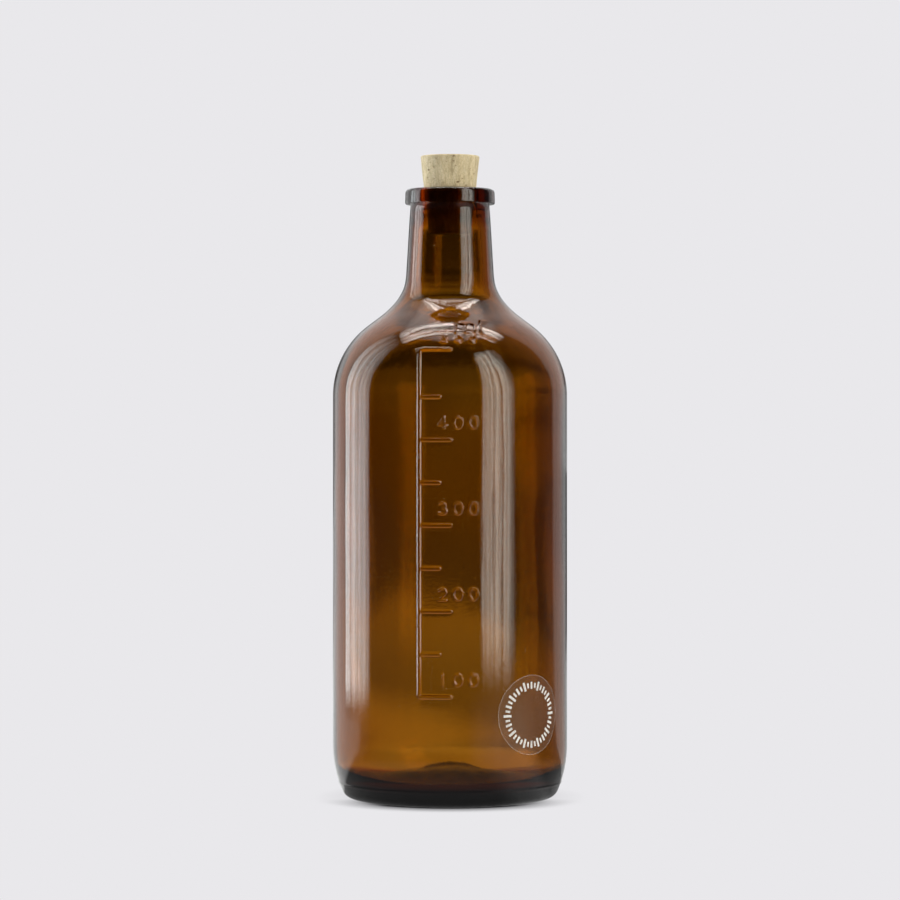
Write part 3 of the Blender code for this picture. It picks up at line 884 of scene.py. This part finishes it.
def table_level(nodes, x, away, facing, aside):
    """The floor's brightness as the glass sees it, by distance from the bottle and direction round it."""
    # Straight behind: the lit table's far edge, which runs nearer the bottle on the right.
    slant = nodes.math("MAXIMUM", nodes.math("MULTIPLY", x, 2.2), nodes.math("MULTIPLY", x, 4.0))
    depth = nodes.ranged(nodes.math("ADD", away, slant), 0, TABLE_REACH, 0, 1)
    by_depth = [(0.0, 0.7), (0.13, 0.9), (0.21, 0.86), (0.36, 0.43), (0.73, 0.52), (1.1, 0.6)]
    by_depth += [(1.4, 0.66), (1.7, 0.24), (3.0, 0.25), (5.0, 0.36)]
    behind = nodes.levels(depth, [(at / TABLE_REACH, level) for at, level in by_depth])
    right_of_it = nodes.ranged(aside, 0.03, 0.1, 0, 0.60)
    far = nodes.ranged(away, 0.45, 0.8, 0, 1)
    behind = nodes.mix(nodes.math("MULTIPLY", right_of_it, far), behind, (0.0, 0.0, 0.0))
    # Beside it: dark in front of the bottle and light behind it.
    by_turn_left = [(0.0, 0.02), (0.40, 0.05), (0.50, 0.25), (0.56, 1.0), (0.66, 1.05), (1.0, 0.95)]
    by_turn_right = [(0.0, 0.02), (0.60, 0.05), (0.70, 0.12), (0.74, 0.15), (0.77, 0.60), (1.0, 0.62)]
    left, right = (nodes.levels(facing, stops) for stops in (by_turn_left, by_turn_right))
    beside = nodes.mix(nodes.ranged(aside, -0.02, 0.02, 0, 1), left, right)
    level = nodes.mix(nodes.ranged(facing, 0.945, 0.98, 0, 1), beside, behind)
    # Close by, and in front on the right: light that spills from the panels.
    close = nodes.ranged(away, 0.04, 0.13, 0.30, 0.0)
    spill = nodes.ranged(away, 0.3, 0.52, 0.55, 0)
    spill = nodes.math("MULTIPLY", spill, nodes.ranged(aside, 0.25, 0.7, 0, 1))
    spill = nodes.math("MULTIPLY", spill, nodes.ranged(facing, 0.3, 0.5, 1, 0))
    return nodes.mix(1.0, level, nodes.math("MAXIMUM", close, spill), "LIGHTEN")


def build_floor():
    """A pale floor as plain as the backdrop, with a soft contact shadow.

    What the glass mirrors and lets through is a table that is lit behind and beside the bottle, dark in
    front of it, dim again far away, and with a painted shadow under the bottle.
    """
    floor = quad("floor", [(-5, -2.2, 0), (5, -2.2, 0), (5, 6, 0), (-5, 6, 0)])
    nodes = material_nodes("pale_floor")
    place = nodes.add("ShaderNodeTexCoord").outputs["Object"]
    split = nodes.add("ShaderNodeSeparateXYZ", {"Vector": place})
    x, y = split.outputs["X"], split.outputs["Y"]
    away = nodes.add("ShaderNodeVectorMath", {0: place}, operation="LENGTH").outputs["Value"]
    # Direction from the bottle: facing runs from 0 in front to 1 behind, and aside from -1 left to 1 right.
    span = nodes.math("MAXIMUM", away, 0.001)
    facing = nodes.ranged(nodes.math("DIVIDE", y, span), -1, 1, 0, 1)
    aside = nodes.math("DIVIDE", x, span)

    lit = nodes.math("SUBTRACT", 1, contact_shadow(nodes, away, facing))
    seen = nodes.add("ShaderNodeEmission", {"Strength": lit})
    seen.inputs["Color"].default_value = (*BACKDROP, 1)
    # Where the bottle stands the table's glow is dimmed: painted shadow under the bottle, which the glass
    # shows through its base.
    shade_under_bottle = nodes.ranged(away, 0.024, 0.038, 0.12, 1)
    level = table_level(nodes, x, away, facing, aside)
    unseen = nodes.add("ShaderNodeEmission", {"Color": level, "Strength": shade_under_bottle})
    path = nodes.add("ShaderNodeLightPath").outputs["Is Camera Ray"]
    nodes.show(nodes.add("ShaderNodeMixShader", {0: path, 1: unseen.outputs[0], 2: seen.outputs[0]}))
    floor.data.materials.append(nodes.owner)


def build_world():
    """A plain pale backdrop for the camera, and for light a studio that is dark in front and pale behind."""
    world = bpy.data.worlds.new("studio")
    bpy.context.scene.world = world
    nodes = Nodes(world)
    place = nodes.add("ShaderNodeTexCoord").outputs["Generated"]
    x, y, z = nodes.add("ShaderNodeSeparateXYZ", {"Vector": place}).outputs
    # Direction: turn is 0 in front and 1 behind, and lift is 0 straight down and 1 straight up.
    flat = nodes.math("ADD", nodes.math("MULTIPLY", x, x), nodes.math("MULTIPLY", y, y))
    flat = nodes.math("MAXIMUM", nodes.math("SQRT", flat), 0.001)
    turn = nodes.math("ADD", nodes.math("MULTIPLY", nodes.math("DIVIDE", y, flat), 0.5), 0.5)
    lift = nodes.math("ADD", nodes.math("MULTIPLY", z, 0.5), 0.5)
    aside = nodes.math("MULTIPLY", x, 2.0)

    # Straight behind the bottle, by elevation, and brighter on the right.
    horizon = [(0.0, 0.6), (0.485, 0.33), (0.490, 0.38), (0.4945, 0.26), (0.4985, 0.26), (0.503, 0.24)]
    horizon += [(0.519, 0.21), (0.5245, 0.09), (0.536, 0.07), (0.55, 0.22), (0.6, 0.22)]
    brighter = nodes.levels(aside, [(0.0, 1.0), (0.06, 1.0), (0.2, 1.45), (1.0, 1.45)])
    behind = nodes.math("MULTIPLY", nodes.levels(lift, horizon), brighter)
    low = nodes.levels(lift, [(0.0, 1.0), (0.56, 1.0), (0.63, 0.0), (1.0, 0.0)])
    back = nodes.levels(turn, [(0.0, 0.0), (0.945, 0.0), (0.975, 1.0), (1.0, 1.0)])
    is_behind = nodes.math("MULTIPLY", low, back)
    # Beside it, by direction.
    by_turn_left = [(0.0, 0.0), (0.42, 0.0), (0.58, 0.06), (0.74, 0.8), (0.93, 1.0), (1.0, 1.0)]
    by_turn_right = [(0.0, 0.0), (0.42, 0.0), (0.62, 0.05), (0.74, 0.08), (0.77, 0.6), (0.87, 0.75)]
    by_turn_right += [(1.0, 0.85)]
    left, right = (nodes.levels(turn, stops) for stops in (by_turn_left, by_turn_right))
    is_right = nodes.levels(aside, [(0.0, 0.0), (0.3, 0.0), (0.7, 1.0), (1.0, 1.0)])
    # Overhead it is brighter towards the back than towards the front.
    overhead = nodes.math("ADD", lift, nodes.math("MULTIPLY", y, 0.1))
    above = nodes.levels(overhead, [(0.0, 0.0), (0.955, 0.0), (0.975, 1.0), (1.0, 1.0)])

    level = nodes.mix(is_behind, nodes.mix(is_right, left, right), behind)
    level = nodes.mix(above, level, (1.8, 1.8, 1.8))
    studio = nodes.add("ShaderNodeBackground", {"Color": level})
    plain = nodes.add("ShaderNodeBackground")
    plain.inputs["Color"].default_value = (*BACKDROP, 1)
    path = nodes.add("ShaderNodeLightPath").outputs["Is Camera Ray"]
    nodes.show(nodes.add("ShaderNodeMixShader", {0: path, 1: studio.outputs[0], 2: plain.outputs[0]}))


def build_panels():
    """A window on the left, a window on the right, an uneven light overhead, and two fills."""
    softbox(
        "softbox_left",
        upright((-0.350, -0.062), (-0.279, 0.161), 0.002, 0.63),
        radiance=5.0,
        tint=(0.90, 0.96, 0.97),
        fades=(0.22, 0.03, 0.02, 0.85),
        streak=0.4,
        grain=(9, 0.25, 1),
    )
    softbox(
        "softbox_right",
        upright((0.198, -0.366), (0.358, -0.168), 0.008, 0.68),
        radiance=4.2,
        tint=(1.0, 0.97, 0.85),
        fades=(0.14, 0.24, 0.03, 0.15),
        streak=0.7,
        grain=(11, 0.25, 1),
    )
    softbox(
        "softbox_top",
        [(-0.42, -0.075, 0.76), (0.42, -0.075, 0.76), (0.42, 0.17, 0.76), (-0.42, 0.17, 0.76)],
        radiance=4.4,
        tint=(1.0, 0.94, 0.88),
        fades=(0.12, 0.12, 0.02, 0.1),
        streak=2.4,
        grain=(0.4, 6.0, 1),
    )
    # Only matt surfaces see the fills, so that the cork and the print are as light as the backdrop.
    for side, radiance in ((-1, 2.9), (1, 4.8)):
        fill = softbox(
            f"fill_{side + 2}",
            upright((side * 0.601, -0.059), (side * 0.351, -0.492), 0.05, 0.55),
            radiance=radiance,
            tint=(1, 1, 1),
            fades=(0.1, 0.1, 0.1, 0.1),
            streak=0.0,
            grain=(1, 1, 1),
        )
        fill.visible_glossy = False
        fill.visible_transmission = False


def build_camera():
    camera = bpy.data.objects.new("camera", bpy.data.cameras.new("camera"))
    bpy.context.scene.collection.objects.link(camera)
    camera.location = CAMERA_AT
    camera.rotation_euler = (math.radians(90), 0, 0)
    camera.data.lens = CAMERA_LENS
    camera.data.sensor_width = 36
    camera.data.shift_y = CAMERA_SHIFT
    camera.data.clip_start = 0.01
    bpy.context.scene.camera = camera


def dress(piece, body, material, node=None):
    piece.data.materials.clear()
    piece.data.materials.append(material)
    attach(piece, body)
    if node:
        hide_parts(node)


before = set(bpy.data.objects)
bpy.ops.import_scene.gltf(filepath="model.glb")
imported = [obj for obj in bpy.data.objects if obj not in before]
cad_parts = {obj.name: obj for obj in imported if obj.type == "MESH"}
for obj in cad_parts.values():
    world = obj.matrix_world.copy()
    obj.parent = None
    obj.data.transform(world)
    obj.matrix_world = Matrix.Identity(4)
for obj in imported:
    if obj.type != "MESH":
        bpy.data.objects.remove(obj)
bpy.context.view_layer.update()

dress(build_bottle(), "bottle", glass_material(), "glass_bottle")
dress(build_cork(), "stopper", cork_material(), "cork_stopper")
dress(build_film(), "bottle", film_material("clear_vinyl", 0.02), "clear_label")
dress(build_rim(), "bottle", film_material("cut_vinyl", 0.13))
dress(build_marks(), "bottle", ink_material())

build_world()
build_floor()
build_panels()
build_camera()
bpy.context.scene.view_settings.view_transform = "Standard"
